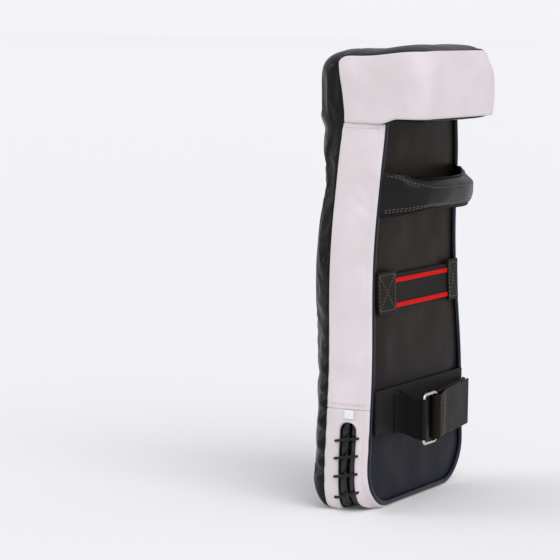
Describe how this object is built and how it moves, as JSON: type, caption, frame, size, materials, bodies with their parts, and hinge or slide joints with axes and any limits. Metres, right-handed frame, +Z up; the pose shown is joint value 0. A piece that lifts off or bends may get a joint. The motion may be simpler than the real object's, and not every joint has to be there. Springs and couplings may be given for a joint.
{
  "type": "thai pad",
  "caption": "Foam kick and knee training pad with an overhanging head, a padded grip, an elastic band and a ring-fastened forearm strap.",
  "frame": {"origin": "middle of the bottom that the pad stands on, at the centre of the overall box in X and Y", "axes": "+Z up along the pad's length, -Y towards the striking face, +Y towards the back panel and grip, +X across the pad"},
  "size_m": [0.201, 0.114, 0.4],
  "materials": {
    "black_cover": "semi-gloss",
    "white_cover": "semi-gloss",
    "black_facing": "gloss",
    "black_grip": "semi-gloss",
    "black_strap": "semi-gloss",
    "piping": "semi-gloss",
    "foam": "matte",
    "lace_cord": "matte",
    "webbing": "matte",
    "elastic": "matte",
    "red_tape": "matte",
    "closure": "matte",
    "label": "matte",
    "ring_wire": "polished"
  },
  "bodies": {
    "pad": {"front_cover": "black_cover", "strike_foam": "foam", "side_strip_right": "white_cover", "side_strip_left": "white_cover", "bottom_strip": "white_cover", "slot_facing_front": "black_facing", "slot_facing_rear": "black_facing", "lace": "lace_cord", "core_foam": "foam", "backing_foam": "foam", "back_panel": "black_cover", "rear_piping": "piping", "head_band": "white_cover", "head_foam": "foam", "head_underside_panel": "black_cover", "head_top_panel": "black_cover", "blank_label": "label", "handle_cover": "black_grip", "handle_core": "foam", "handle_webbing": "webbing", "elastic_band": "elastic", "red_tape_upper": "red_tape", "red_tape_lower": "red_tape", "band_patch_right": "black_strap", "band_patch_left": "black_strap", "base_band": "webbing", "ring_tab": "webbing", "arm_strap": "black_strap", "loop_tape": "closure"},
    "ring": {"rect_ring": "ring_wire"},
    "tongue": {"strap_tongue": "black_strap", "hook_tape": "closure"}
  },
  "joints": [
    {"name": "ring_swing", "type": "hinge", "parent": "pad", "child": "ring", "pos_m": [0.0455, 0.047, 0.078], "axis": [0, 0, 1], "range_deg": [-4, 4]},
    {"name": "tongue_peel", "type": "hinge", "parent": "pad", "child": "tongue", "pos_m": [0.01496, 0.05085, 0.078], "axis": [0, 0, -1], "range_deg": [0, 135]}
  ]
}
